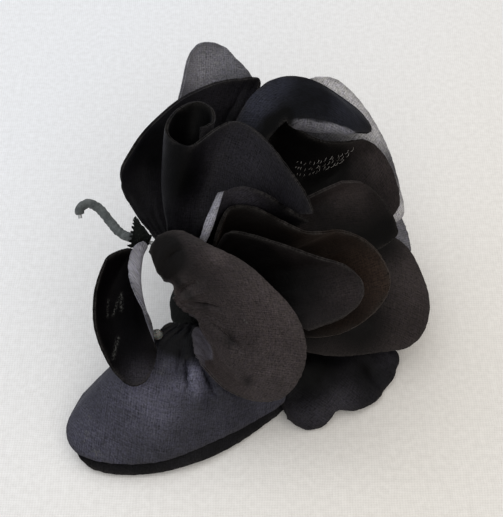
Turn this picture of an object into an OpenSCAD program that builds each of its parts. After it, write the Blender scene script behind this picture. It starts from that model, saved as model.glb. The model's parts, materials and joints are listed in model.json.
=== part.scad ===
// Black satin flower hair clip.
// A flower of stiffened satin petals is glued round a thread-bound core. A pinked calyx and
// a tape-wrapped wire stem leave its back, and a sprung hair clip is held under a felt disc.
// Millimetres. +Z up, X to the right, Y away. The clip's lower face lies on Z = 0.

/* [Petals] */
// Thickness of a petal, two plies of satin bonded together
petal_t = 0.7; // [0.5:0.1:0.9]
// Rows of a petal's surface, from its neck to its rim
petal_rows = 7; // [6:1:12]
// Columns of a petal's surface, from one side to the other
petal_cols = 20; // [14:2:28]

/* [Clip] */
// Width of the clip's steel strip
clip_w = 9; // [7:0.5:10]
// Thickness of the strip
strip_t = 0.8; // [0.6:0.1:1]
// Radius of the hinge pin
pin_r = 0.75; // [0.6:0.05:0.9]
// Gap round the pin in its bores
bore_gap = 0.03; // [0.02:0.01:0.08]
// Teeth across the jaw's tip
jaw_teeth = 6; // [4:1:7]
// Radius of the felt disc
felt_r = 12; // [10:0.5:14]

/* [Calyx] */
// Teeth round the pinked calyx
calyx_teeth = 14; // [10:1:18]

/* [Hidden] */
$fn = 48;
// The clip from its side: its middle line, its hinge, the arm's bends and the jaw as [x, z]
clip_y = 0;
pin_x = 18;
pin_z = 4.2;
arm_z = 8;
arm_line = [[-15.4, 2.6], [-13, 3.3], [-7, 7], [-4, arm_z], [pin_x + 2, arm_z], [31, 10.2]];
jaw_line = [[-16, strip_t/2], [31, strip_t/2]];
// The ears round the pin, the arm's outside the jaw's
ear_t = 0.8;
ear_r = 2;
ear_gap = 0.3;
ear_foot = 5;
// The pin's flattened heads
head_r = 1.3;
head_t = 0.5;
head_gap = 0.4;
// The teeth across the jaw's tip
tooth_pitch = 1.6;
tooth_l = 1.1;
tooth_h = 0.9;
tooth_inset = 0.8;
// The torsion spring: its coil, and the height of each leg far from and near to the pin
coil_r = 1.4;
coil_wire = 0.3;
coil_turns = 5.5;
coil_l = 3.85;
coil_steps = 66;
coil_from = clip_y - coil_l/2;
leg_far = 9;
leg_near = 5;
leg_top = [8.6, 7.3];
leg_low = [strip_t + 0.5, 1.9];
// The felt lies on the clip's top arm, and the core on the felt
felt_t = 1.5;
felt_top = arm_z + strip_t/2 + felt_t;
core_at = [-6, -2, 18];
core_r = 8;
core_foot_r = 7.5;
core_front = [-7, 1, 22];
core_front_r = 5.5;
// The stem's route, from the core to its hooked end, its wire and the tape round it
stem = [[-16.5, 3, 26], [-24, 4, 27.6], [-28, 5.4, 28.2], [-30.6, 8.2, 29], [-33, 11, 30],
    [-35.2, 12, 30.8], [-37, 11.4, 30.6], [-37.6, 10.2, 29.7], [-37.4, 9.4, 28.8]];
stem_root_r = 3;
stem_sides = 12;
wire_r = 0.45;
tape_r = 1;
tape_gap = 0.02;
// The thread that is wound round the stem's root
thread_r = 0.32;
thread_turns = 4;
thread_pitch = 0.75;
// The calyx: where it starts, how far it wraps, where on the stem, and each ring as [radius, height, zigzag]
calyx_from = 112;
calyx_wrap = 185;
calyx_near = 5.4;
calyx_t = 0.4;
calyx_rings = [[1.3, 0, 0], [2.4, 1.5, 0], [3.3, 2.7, 0], [3.9, 3.6, 0.9]];
// The blob of glue
glue_at = [-19.8, -13.8, 16];
glue_r = 1.4;
glue_shape = [1.1, 0.8, 1.5];

// A smooth curve through a list of points, t from 0 to 1
function spline(p, t) = let (
        n = len(p) - 1,
        k = min(floor(t*n), n - 1),
        s = t*n - k,
        a = p[max(k - 1, 0)],
        b = p[k],
        c = p[k + 1],
        d = p[min(k + 2, n)])
    b + s/2*(c - a) + s*s/2*(2*a - 5*b + 4*c - d) + s*s*s/2*(3*b - 3*c + d - a);

function unit(v) = v/norm(v);

// The middle surface of a petal, as rows of points from its neck to its rim.
// Every column is a bowed spoke: it leaves the neck and ends on the rim, and its middle is
// off the straight line by half of its own belly.
function petal_grid(neck, rim, belly, cols) = [
    for (i = [0:petal_rows]) let (v = i/petal_rows) [
        for (j = [0:cols]) let (
            u = j/cols,
            root = spline(neck, u),
            end = spline(rim, u),
            bow = spline(belly, u))
        root + v*(end - root) + 2*v*(1 - v)*bow]];

// The unit normal of a grid of points at row i, column j
function normal_at(g, i, j) = let (rows = len(g) - 1, cols = len(g[0]) - 1)
    unit(cross(g[min(i + 1, rows)][j] - g[max(i - 1, 0)][j],
               g[i][min(j + 1, cols)] - g[i][max(j - 1, 0)]));

// A sheet of thickness t about a grid of points
module sheet(g, t = petal_t) {
    rows = len(g);
    cols = len(g[0]);
    face = rows*cols;
    points = [for (side = [0.5, -0.5]) for (i = [0:rows - 1]) for (j = [0:cols - 1])
        g[i][j] + side*t*normal_at(g, i, j)];
    function at(i, j) = i*cols + j;
    edge = concat([for (j = [0:cols - 2]) at(0, j)], [for (i = [0:rows - 2]) at(i, cols - 1)],
        [for (j = [cols - 1:-1:1]) at(rows - 1, j)], [for (i = [rows - 1:-1:1]) at(i, 0)]);
    polyhedron(points, concat(
        [for (i = [0:rows - 2]) for (j = [0:cols - 2])
            each [[at(i, j), at(i, j + 1), at(i + 1, j)],
                  [at(i, j + 1), at(i + 1, j + 1), at(i + 1, j)]]],
        [for (i = [0:rows - 2]) for (j = [0:cols - 2])
            each [[at(i, j) + face, at(i + 1, j) + face, at(i, j + 1) + face],
                  [at(i, j + 1) + face, at(i + 1, j) + face, at(i + 1, j + 1) + face]]],
        [for (k = [0:len(edge) - 1]) let (a = edge[k], b = edge[(k + 1) % len(edge)])
            each [[a, a + face, b], [b, a + face, b + face]]]), convexity = 6);
}

module petal(neck, rim, belly, cols = petal_cols) sheet(petal_grid(neck, rim, belly, cols));

// A round tube of radius r with so many sides, along a list of points
module tube(line, r, sides) {
    n = len(line);
    rings = [for (k = [0:n - 1]) let (
            d = unit(line[min(k + 1, n - 1)] - line[max(k - 1, 0)]),
            across = unit(cross(d, abs(d.y) > 0.9 ? [1, 0, 0] : [0, 1, 0])),
            up = cross(across, d))
        for (s = [0:sides - 1]) let (a = 360/sides*s) line[k] + r*(cos(a)*across + sin(a)*up)];
    polyhedron(rings, concat(
        [[for (s = [sides - 1:-1:0]) s], [for (s = [0:sides - 1]) (n - 1)*sides + s]],
        [for (k = [0:n - 2]) for (s = [0:sides - 1]) let (a = k*sides + s, b = k*sides + (s + 1) % sides)
            each [[a, b, a + sides], [b, b + sides, a + sides]]]), convexity = 8);
}

// Puts children on the stem's first straight, so far from its root, with +Z along the stem
module along_stem(far) {
    d = unit(stem[1] - stem[0]);
    translate(stem[0] + far*d) rotate([0, acos(d.z), atan2(d.y, d.x)]) children();
}

// ---- petals ----

module lower_left_petal() color("#2c2b33")
    petal(neck = [[-16.5, -11, 17], [-8, -11, 15]],
          rim = [[-36, -23, 6.5], [-39.5, -30, 4.4], [-37, -36, 3.4], [-29, -38.6, 3.2],
           [-18, -38, 3.3], [-7, -33, 3.4], [3, -27, 3.6], [8.5, -23, 6.4], [4, -15, 11.4]],
          belly = [[0, 1.5, 2.5], [-1, 0, 4], [0, 0, 5], [2, -2, 5], [0, 0, 3]]);

module lower_left_under_petal() color("#1a1a20")
    petal(neck = [[-14, -8, 13], [-7, -8, 12]],
          rim = [[-35, -26, 3], [-38, -32, 1.6], [-34.5, -38, 1], [-27, -40, 0.8], [-17, -39, 0.8],
           [-6, -34.5, 0.8], [4, -27, 0.8], [9, -21, 2], [3, -14, 7]],
          belly = [[0, 2, 1], [-1, 0, 2], [0, -1, 2.6], [2, -2, 2.6], [0, 0, 1]]);

module lower_right_petal() color("#1c1c24")
    petal(neck = [[-3, -9, 12.5], [0, -5, 12.5]],
          rim = [[9, -26.6, 2.2], [13, -28.5, 0.9], [17, -27.5, 0.9], [20, -24.5, 2.2], [24, -24, 1.6],
           [29, -21, 0.9], [33, -15, 1.2], [34.5, -10, 2.4], [31, -6.5, 5]],
          belly = [[2, 3, -1], [0, 0, 3], [0, -2, 4], [0, -4, 3]]);

module right_petal() color("#231f1e")
    petal(neck = [[1, -7, 18.6], [1.4, 3, 19.4]],
          rim = [[10, -16, 14], [20, -15, 10], [30, -12, 7.5], [37, -10, 7], [41, -5, 8], [42, 1, 10.5],
           [40, 7, 13], [36, 13, 16], [28, 16, 19]],
          belly = [[2, 0, 5], [2, 0, 8], [2, 0, 6], [0, 0, 2]]);

module inner_right_petal() color("#1f1c1b")
    petal(neck = [[-1.5, -0.6, 23.6], [-4, 6, 25]],
          rim = [[20, 0, 25], [28, 3, 24.6], [33.5, 8, 24], [33.5, 10.5, 26], [31, 13, 30],
           [26.5, 15, 34], [21, 13, 37]],
          belly = [[0, 0, 4], [2, 0, 6], [4, 1, 7], [0, -3, 5]]);

module heart_hood_petal() color("#1b1919")
    petal(neck = [[-11.5, -1, 27.4], [-8, 2, 27.2]],
          rim = [[-4.8, 3.6, 44], [-1, 3.8, 45], [4, 2.6, 44], [9, 0.2, 42], [13, -1, 39.6]],
          belly = [[0, -4.5, 0], [-1, 1, 2], [0, 1, 0], [0, -1, -2]]);

module heart_outer_petal() color("#1f1c1a")
    petal(neck = [[-9, -2, 25.5], [-3, -5, 24]],
          rim = [[-6, -1, 37], [-4, 1.6, 40.6], [1, 1.2, 41.6], [7, -1.6, 40.6], [13.5, -3.6, 38.6],
           [20, -2, 37.4], [26, -2, 34], [30, -5, 30], [31, -8.5, 26], [27, -13.4, 22.8],
           [20, -17, 20.8], [13, -17.6, 20.4]],
          belly = [[0, 0, 0], [0, 2, -4], [0, 1, -4], [0, 0, 2]]);

module heart_inner_petal() color("#222021")
    petal(neck = [[-10, -4, 25], [-4, -9, 21]],
          rim = [[-5, -1.6, 35], [-3.2, -2.6, 38], [1, -3.7, 38], [8, -6.7, 38], [16, -8.3, 36],
           [21, -9.7, 35], [24.5, -12.5, 33], [24, -16, 31], [20, -18.5, 28.5], [13, -20, 26]],
          belly = [[0, 0, 0], [0, 2, 0], [0, 0, 2], [0, 0, 2]]);

module heart_bud_petal() color("#1a1818")
    petal(neck = [[-8, -3, 25.5], [-5, -4.5, 25]],
          rim = [[-4, -1.6, 34], [-2, -1.4, 36], [1.5, -2.4, 36.6], [5, -4, 36.4], [7.6, -5.4, 35]],
          belly = [[0, 0, 0], [0, 0, 0]],
          cols = 12);

module front_petal() color("#302b2a")
    petal(neck = [[-16, -7, 26], [-10, -12, 18]],
          rim = [[-21, -3, 32], [-19, -1.4, 35], [-14, -1.6, 37], [-7, -6.5, 37.4], [-1, -9.5, 36.5],
           [5, -14, 34], [10, -18, 30], [12.4, -22, 25.5], [12, -26, 20], [8, -30, 16], [2, -30.5, 15],
           [-4.6, -28.4, 17], [-9, -24.6, 19]],
          belly = [[0, -2, 2], [0, -2, 6], [0, -4, 6], [0, -4, 2], [0, 0, 0]],
          cols = 24);

module left_loop_petal() color("#161517")
    petal(neck = [[-25.6, 0.4, 29], [-22.8, -0.4, 29.2]],
          rim = [[-30.6, -3.6, 29.8], [-33, -8.5, 25.4], [-33.2, -13, 21.6], [-31.6, -18.6, 18.6],
           [-28.6, -23.6, 16.2], [-25, -26.4, 15], [-22, -25.6, 15.2], [-20.2, -22.6, 16.2],
           [-19.6, -19, 17.8]],
          belly = [[-1, 0, 1], [-2, 2, -5], [-3, 3, -6], [-4, 2, -3], [-3.6, 0, 3.4]],
          cols = 24);

module rolled_petal() color("#1e1b1b")
    petal(neck = [[-12.4, 5.8, 27.6], [-15, 7, 27.6], [-17, 5.2, 27.4], [-14.4, 3.4, 27.2],
           [-11.4, 3.6, 27.4], [-8.6, 4, 27.6]],
          rim = [[-10, 17.6, 49], [-7.4, 19.4, 49], [-7.8, 23.2, 49.6], [-11, 24.8, 50],
           [-15, 22.6, 50], [-17.2, 19, 49.2], [-16.6, 15.4, 48.5], [-13, 12.8, 48.2],
           [-10, 13.8, 48.8], [-6.6, 16.5, 49.8], [-3, 18, 50.6], [1, 15.8, 50.8], [5, 11.4, 50],
           [9, 6.2, 47.8], [12.5, 1.2, 45], [14, -1, 42]],
          belly = [[0, 0, 0], [-2, 2, 0], [-3, 0, 0], [0, 3, 0], [0, 4, 0]],
          cols = 32);

module upper_left_petal() color("#191819")
    petal(neck = [[-20, 6, 25], [-12, 8, 24]],
          rim = [[-27.5, 14.5, 31], [-28.3, 17, 36], [-26, 20, 39.5], [-20.5, 25, 44], [-14, 30.5, 46],
           [-7, 34.8, 46.4], [-1, 37.8, 45], [3, 38.6, 43.6], [0, 32, 40]],
          belly = [[-2, 2, -1], [-6, 9, -2], [-2, 12, -4], [0, 6, -6]]);

module top_petal() color("#55535a")
    petal(neck = [[-15, 9, 19], [-8, 10, 18]],
          rim = [[-18, 28, 34], [-16, 35, 40], [-14.2, 41, 44.5], [-12, 45.6, 47.5], [-9, 46.8, 48],
           [-5.6, 46.4, 47], [-3, 44.4, 45.5], [0, 42.4, 43.5], [3.4, 39, 40]],
          belly = [[0, 6, -6], [0, 10, -8], [0, 6, -6]]);

module upper_right_petal() color("#1c1b20")
    petal(neck = [[-4.5, 9.5, 24.6], [-9, 10, 23]],
          rim = [[25, 26.8, 38.4], [28, 28.4, 37], [28, 30.6, 37.2], [26, 33, 38.6]],
          belly = [[-3, 19.6, 19.6], [-7, 26, 27.4], [-10.5, 26.5, 29]]);

module frayed_petal() color("#1d1a1e")
    petal(neck = [[-3, 7, 22], [-1, 3, 21]],
          rim = [[7, 31, 39.4], [10, 29, 39.6], [13.5, 26, 38.6], [17.5, 24.8, 37.5], [22, 26.4, 36],
           [27, 28.6, 34.4], [31, 27.8, 31.6], [34, 24.4, 27.4], [35.4, 20, 22.5], [33, 17, 20.5]],
          belly = [[0, 8, -8], [4, 8, -7], [6, 4, -3], [2, 0, 2]]);

module back_right_petal() color("#55545a")
    petal(neck = [[-4, 11, 18], [2, 7, 17]],
          rim = [[2, 35, 37], [6, 38, 38.6], [11, 40.6, 40], [16, 42.5, 41], [21, 42.4, 40.4],
           [26, 39.6, 37], [30, 35.6, 33], [33.6, 30.6, 28], [36, 25, 22], [36.6, 20, 17.6],
           [31, 16.6, 16]],
          belly = [[0, 4, -6], [0, 6, -6], [4, 4, -4], [0, 0, 0]]);

module back_petal() color("#3b3a3e")
    petal(neck = [[-10, 11, 16], [-3, 12, 15]],
          rim = [[-14, 22, 14], [-14, 31, 10], [-8, 38, 7], [1, 41, 6], [10, 39, 7], [15, 33, 10],
           [14, 25, 13]],
          belly = [[0, 0, 6], [0, 4, 8], [0, 4, 8], [0, 0, 6]]);

module back_low_petal() color("#3b3a3e")
    petal(neck = [[0, 8, 13], [1, 4, 13]],
          rim = [[20, 30, 17], [28, 31, 17], [34, 27, 16], [37, 21.5, 14.5], [38.6, 15, 12],
           [37, 11, 11], [30, 9, 11]],
          belly = [[2, 4, 2], [4, 2, 2], [2, 0, 0]]);
// ---- the flower's core, calyx and stem ----

// Waxed wadding: a pad on the felt, a bulge that the petals are glued to, and the stem's root
module flower_core() color("#141414")
    hull() {
        translate([core_at.x, core_at.y, felt_top]) cylinder(r = core_foot_r, h = 0.5);
        translate(core_at) sphere(r = core_r, $fn = 28);
        translate(core_front) sphere(r = core_front_r, $fn = 24);
        translate(stem[0]) sphere(r = stem_root_r, $fn = 24);
    }

// The linen thread that binds the petals' roots to the stem
module binding_thread() color("#1d211c")
    for (k = [0:thread_turns - 1])
        along_stem(0.8 + thread_pitch*k) rotate_extrude($fn = 36)
            translate([stem_root_r - 0.1 - 0.25*k, 0]) circle(r = thread_r, $fn = 16);

// A collar cut with pinking shears, wrapped over the stem where it enters the flower
module calyx() color("#1d241f")
    along_stem(calyx_near)
        sheet([for (ring = calyx_rings)
            [for (k = [0:2*calyx_teeth]) let (
                a = calyx_from + calyx_wrap*k/(2*calyx_teeth),
                out = ring[0] + ring[2]*(k % 2))
            [out*cos(a), out*sin(a), ring[1] + ring[2]*(k % 2)]]], calyx_t);

module stem_wire() color("#6f7378") tube(stem, wire_r, stem_sides);

// The floral tape wound round the wire, with the wire's end left bare
module stem_tape() color("#54605f")
    difference() {
        tube([for (k = [1:len(stem) - 2]) stem[k]], tape_r, stem_sides);
        tube(stem, wire_r + tape_gap, stem_sides);
    }

// Hot glue squeezed out beside the lowest petal's root
module glue_bead() color("#6b6a5e")
    translate(glue_at) scale(glue_shape) sphere(r = glue_r, $fn = 20);

module felt_disc() color("#0f0f10")
    translate([core_at.x, clip_y, felt_top - felt_t]) cylinder(r = felt_r, h = felt_t, $fn = 72);

// ---- the hair clip ----

// The arm under the felt, with a thumb tab and two ears for the pin
module clip_top_arm() color("#202022")
    difference() {
        union() {
            strip(arm_line);
            for (y = [clip_y - clip_w/2, clip_y + clip_w/2 - ear_t]) ear(y, arm_z);
        }
        bores();
    }

// The jaw that closes on the hair, flat below, with teeth at its tip
module clip_lower_jaw() color("#202022")
    difference() {
        union() {
            strip(jaw_line);
            for (k = [0:jaw_teeth - 1])
                translate([jaw_line[0].x + 1 + tooth_pitch*k, clip_y, strip_t - 0.05])
                    rotate([90, 0, 0]) linear_extrude(clip_w - 2*tooth_inset, center = true)
                        polygon([[0, 0], [tooth_l, 0], [tooth_l/2, tooth_h]]);
            for (y = [clip_y - clip_w/2 + ear_t + ear_gap, clip_y + clip_w/2 - 2*ear_t - ear_gap])
                ear(y, strip_t/2);
        }
        bores();
    }

// A strip of the clip's steel along a side view's points [x, z]
module strip(line) {
    n = len(line);
    side = [for (k = [0:n - 1]) let (
            a = line[max(k - 1, 0)],
            b = line[min(k + 1, n - 1)],
            d = (b - a)/norm(b - a))
        strip_t/2*[-d.y, d.x]];
    translate([0, clip_y, 0]) rotate([90, 0, 0]) linear_extrude(clip_w, center = true)
        polygon(concat([for (k = [0:n - 1]) line[k] + side[k]],
                       [for (k = [n - 1:-1:0]) line[k] - side[k]]));
}

// An ear from the strip at height z to round the pin, its near face at y
module ear(y, z)
    translate([pin_x, y + ear_t, 0]) rotate([90, 0, 0]) linear_extrude(ear_t) hull() {
        translate([0, pin_z]) circle(r = ear_r);
        translate([-ear_foot/2, z - strip_t/4]) square([ear_foot, strip_t/2]);
    }

module bores()
    translate([pin_x, clip_y, pin_z]) rotate([90, 0, 0])
        cylinder(r = pin_r + bore_gap, h = clip_w + 2, center = true);

// The rivet: a pin through all four ears, with a flattened head at each end
module hinge_pin() color("#8a8a88")
    translate([pin_x, clip_y, pin_z]) rotate([90, 0, 0]) {
        cylinder(r = pin_r, h = clip_w + 2*head_gap, center = true);
        for (end = [-1, 1]) translate([0, 0, end*(clip_w/2 + head_gap - 0.1)])
            cylinder(r = head_r, h = head_t, center = true);
    }

// A torsion spring on the pin, one leg under each thumb tab
module clip_spring() color("#77787a")
    tube(concat(
        [[pin_x + leg_far, coil_from, leg_top.x], [pin_x + leg_near, coil_from, leg_top.y]],
        [for (k = [0:coil_steps]) let (a = 90 + 360*coil_turns*k/coil_steps)
            [pin_x + coil_r*cos(a), coil_from + coil_l*k/coil_steps, pin_z + coil_r*sin(a)]],
        [[pin_x + leg_near, coil_from + coil_l, leg_low.y],
         [pin_x + leg_far, coil_from + coil_l, leg_low.x]]), coil_wire, 8);

lower_left_petal();
lower_left_under_petal();
lower_right_petal();
right_petal();
inner_right_petal();
heart_hood_petal();
heart_outer_petal();
heart_inner_petal();
heart_bud_petal();
front_petal();
left_loop_petal();
rolled_petal();
upper_left_petal();
top_petal();
upper_right_petal();
frayed_petal();
back_right_petal();
back_petal();
back_low_petal();
flower_core();
binding_thread();
calyx();
stem_wire();
stem_tape();
glue_bead();
felt_disc();
clip_top_arm();
clip_lower_jaw();
hinge_pin();
clip_spring();
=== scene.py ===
"""The looks of the black satin flower hair clip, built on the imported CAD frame. Metres."""

import json
import math

import bpy
import numpy as np
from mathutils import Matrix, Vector
from mathutils.bvhtree import BVHTree


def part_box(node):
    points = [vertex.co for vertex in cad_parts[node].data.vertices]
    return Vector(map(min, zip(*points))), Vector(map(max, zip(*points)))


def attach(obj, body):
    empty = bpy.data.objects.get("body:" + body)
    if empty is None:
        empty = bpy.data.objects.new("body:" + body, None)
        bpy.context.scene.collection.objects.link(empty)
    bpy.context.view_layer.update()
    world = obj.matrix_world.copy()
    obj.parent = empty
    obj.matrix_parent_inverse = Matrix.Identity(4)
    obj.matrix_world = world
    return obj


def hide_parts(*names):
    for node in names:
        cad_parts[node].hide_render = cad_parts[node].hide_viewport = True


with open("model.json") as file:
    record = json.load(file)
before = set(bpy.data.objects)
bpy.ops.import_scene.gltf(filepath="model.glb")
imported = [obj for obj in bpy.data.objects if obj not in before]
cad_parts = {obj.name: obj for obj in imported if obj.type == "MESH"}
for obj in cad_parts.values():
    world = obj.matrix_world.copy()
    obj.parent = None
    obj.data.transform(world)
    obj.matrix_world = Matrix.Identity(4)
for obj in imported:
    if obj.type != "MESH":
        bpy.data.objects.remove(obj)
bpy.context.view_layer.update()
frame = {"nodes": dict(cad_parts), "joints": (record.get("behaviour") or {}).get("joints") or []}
scene = bpy.context.scene
scene.view_settings.view_transform = "Standard"
MM = 0.001
TURN = 2 * math.pi

# ---- the camera: 50 degrees above the table, 300 mm from the flower ----

LOOK_AT = Vector((0.001, 0.005, 0.020))
CAMERA_FAR = 0.300
CAMERA_HEIGHT = math.radians(50)
LENS = 91.92
SENSOR = 36


def add_camera():
    data = bpy.data.cameras.new("camera")
    data.lens = LENS
    data.sensor_width = SENSOR
    data.clip_start = 0.01
    camera = bpy.data.objects.new("camera", data)
    back = Vector((0, -math.cos(CAMERA_HEIGHT), math.sin(CAMERA_HEIGHT)))
    camera.location = LOOK_AT + CAMERA_FAR * back
    camera.rotation_mode = "QUATERNION"
    camera.rotation_quaternion = (-back).to_track_quat("-Z", "Y")
    scene.collection.objects.link(camera)
    scene.camera = camera


add_camera()

# ---- node materials ----


def add(tree, kind, sockets=None, **settings):
    """A shader node. Each socket is linked to an output, or set to a value."""
    node = tree.nodes.new("ShaderNode" + kind)
    for key, value in settings.items():
        setattr(node, key, value)
    for key, value in (sockets or {}).items():
        if isinstance(value, bpy.types.NodeSocket):
            tree.links.new(value, node.inputs[key])
        else:
            node.inputs[key].default_value = value
    return node


def calc(tree, operation, a, b=0.0, c=0.0):
    """A Math node's output. A value that the operation doesn't use is left at 0."""
    return add(tree, "Math", {0: a, 1: b, 2: c}, operation=operation).outputs[0]


def times(tree, a, b):
    return calc(tree, "MULTIPLY", a, b)


def plus(tree, a, b):
    return calc(tree, "ADD", a, b)


def spread(tree, value, low, high, to_low=0.0, to_high=1.0):
    """A value mapped from low..high to to_low..to_high, and held there."""
    return add(tree, "MapRange", {0: value, 1: low, 2: high, 3: to_low, 4: to_high}).outputs[0]


def mix(tree, share, a, b):
    """A colour between a and b."""
    node = tree.nodes.new("ShaderNodeMix")
    node.data_type = "RGBA"
    for key, value in ((0, share), (6, a), (7, b)):
        if isinstance(value, bpy.types.NodeSocket):
            tree.links.new(value, node.inputs[key])
        elif key:
            node.inputs[key].default_value = (*value, 1)
        else:
            node.inputs[key].default_value = value
    return node.outputs[2]


def attribute(tree, name, output="Fac"):
    """A value that the mesh carries at each point."""
    return add(tree, "Attribute", attribute_name=name).outputs[output]


def in_object(tree):
    """The place in the object's own frame, in metres."""
    return add(tree, "TexCoord").outputs["Object"]


def noise(tree, where, scale, detail=3.0, rough=0.55):
    sockets = {"Vector": where, "Scale": scale, "Detail": detail, "Roughness": rough}
    return add(tree, "TexNoise", sockets).outputs["Fac"]


def bump(tree, height, strength, distance, under=None):
    """A normal tilted by a height, on top of another bump's normal if one is given."""
    sockets = {"Height": height, "Strength": strength, "Distance": distance}
    if under is not None:
        sockets["Normal"] = under
    return add(tree, "Bump", sockets).outputs["Normal"]


def new_material(name, **sockets):
    """A material, its node tree and its shader, with values set on the shader."""
    made = bpy.data.materials.new(name)
    made.use_nodes = True
    shader = made.node_tree.nodes["Principled BSDF"]
    for key, value in sockets.items():
        socket = shader.inputs[key.replace("_", " ")]
        socket.default_value = (*value, 1) if isinstance(value, tuple) else value
    return made, made.node_tree, shader


def connect(tree, shader, colour, roughness=None, normal=None):
    for name, value in (("Base Color", colour), ("Roughness", roughness), ("Normal", normal)):
        if value is not None:
            tree.links.new(value, shader.inputs[name])


# The spacing of the satin's ribs, and how strongly its weave darkens and lightens it
RIB_ACROSS = 0.55 * MM
RIB_ALONG = 0.5 * MM
WEAVE_SHARE = 0.42
VIOLET = (1.05, 1.0, 1.4)
WORN_RIM = (0.036, 0.033, 0.031)
GLUE_SMEAR = (0.1, 0.1, 0.094)


def satin(name, dark, light, rough, sheen, sheen_tint=(0.8, 0.82, 1.0), specular=0.2,
          turned_sheen=(0.085, 0.083, 0.095), painted_highlight=None):
    """Stiffened satin: a crossed weave with streaky yarns, blotches from dark to light, and small crumples.
    The mesh's attributes place the rest: painted shade goes down to near black, and painted highlights and
    sheen go up to a highlight colour (or three times light), turned-over cloth that shows its other side is
    painted paler, as its duller back with a painted sheen, wear is the rubbed rim, and smear is dried glue."""
    made, tree, shader = new_material(name, IOR=1.5, Specular_IOR_Level=specular, Sheen_Weight=sheen,
                                      Sheen_Roughness=0.45, Sheen_Tint=sheen_tint)
    cloth = attribute(tree, "cloth", "Vector")
    place = in_object(tree)
    split = add(tree, "SeparateXYZ", {0: cloth})
    drift = noise(tree, cloth, 240, 3)
    across = plus(tree, times(tree, split.outputs[0], TURN / RIB_ACROSS), times(tree, drift, 12.0))
    along = plus(tree, times(tree, split.outputs[1], TURN / RIB_ALONG), times(tree, drift, 10.0))
    grain = noise(tree, cloth, 2100, 3, 0.75)
    patch = spread(tree, noise(tree, cloth, 300, 3), 0.3, 0.65, 0.35, 1.0)
    warp = noise(tree, add(tree, "Mapping", {"Vector": cloth, "Scale": (2600, 480, 1)}).outputs[0], 1.0, 2)
    weft = noise(tree, add(tree, "Mapping", {"Vector": cloth, "Scale": (520, 2300, 1)}).outputs[0], 1.0, 2)
    ribs = [times(tree, calc(tree, "SINE", way), high) for way, high in ((across, 0.45), (along, 0.25))]
    yarn = times(tree, calc(tree, "SUBTRACT", plus(tree, warp, weft), 1.0), 3.2)
    weave = times(tree, plus(tree, plus(tree, *ribs), yarn), patch)
    crumple = noise(tree, cloth, 300, 4, 0.6)
    blotch = noise(tree, place, 95, 4, 0.6)
    wear = attribute(tree, "wear")
    # Painted light and shade from the mesh: below 0 the cloth is painted darker for shade, above 0 paler for
    # highlights and sheen
    painted_shade_light = attribute(tree, "painted_shade_light")
    base = mix(tree, spread(tree, blotch, 0.36, 0.66), dark, light)
    # Painted highlights and sheen: the palest spots go to the highlight colour
    base = mix(tree, spread(tree, painted_shade_light, 0.0, 1.0), base, painted_highlight or tuple(3 * c for c in light))
    # Turned-over cloth is painted paler: its duller back, with a painted sheen
    base = mix(tree, attribute(tree, "turned_sheen"), base, turned_sheen)
    # Painted shade: the darkest spots go to a near-black copy of the dark colour
    base = mix(tree, spread(tree, painted_shade_light, 0.0, -1.0), base, tuple(0.12 * c for c in dark))
    uneven = plus(tree, calc(tree, "MULTIPLY_ADD", weave, WEAVE_SHARE, 1.0),
                  spread(tree, grain, 0.3, 0.7, -0.5, 0.7))
    tint = spread(tree, noise(tree, cloth, 900, 3, 0.7), 0.4, 0.66, 0.0, 0.3)
    violet = add(tree, "VectorMath", {0: base, 1: VIOLET}, operation="MULTIPLY").outputs[0]
    base = mix(tree, tint, base, violet)
    shade = add(tree, "VectorMath", {0: base, "Scale": uneven}, operation="SCALE").outputs[0]
    rubbed = times(tree, wear, spread(tree, grain, 0.35, 0.65, 0.05, 0.8))
    base = mix(tree, rubbed, shade, WORN_RIM)
    broken = spread(tree, noise(tree, cloth, 1900, 4, 0.75), 0.47, 0.66)
    base = mix(tree, times(tree, attribute(tree, "smear"), broken), base, GLUE_SMEAR)
    smooth = spread(tree, crumple, 0.3, 0.7, rough - 0.07, rough + 0.08)
    normal = bump(tree, crumple, 0.14, 0.4 * MM)
    normal = bump(tree, weave, 0.4, 0.04 * MM, normal)
    normal = bump(tree, grain, 0.3, 0.05 * MM, normal)
    connect(tree, shader, base, plus(tree, smooth, times(tree, wear, 0.35)), normal)
    return made


# ---- reading a sheet of the CAD model ----


def welded(name):
    """A CAD node's points, each once, and its triangles."""
    mesh = frame["nodes"][name].data
    co = np.empty(3 * len(mesh.vertices))
    mesh.vertices.foreach_get("co", co)
    corners = np.empty(len(mesh.loops), int)
    mesh.loops.foreach_get("vertex_index", corners)
    points, same = np.unique(np.round(co.reshape(-1, 3), 7), axis=0, return_inverse=True)
    return points, same.ravel()[corners].reshape(-1, 3)


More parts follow.
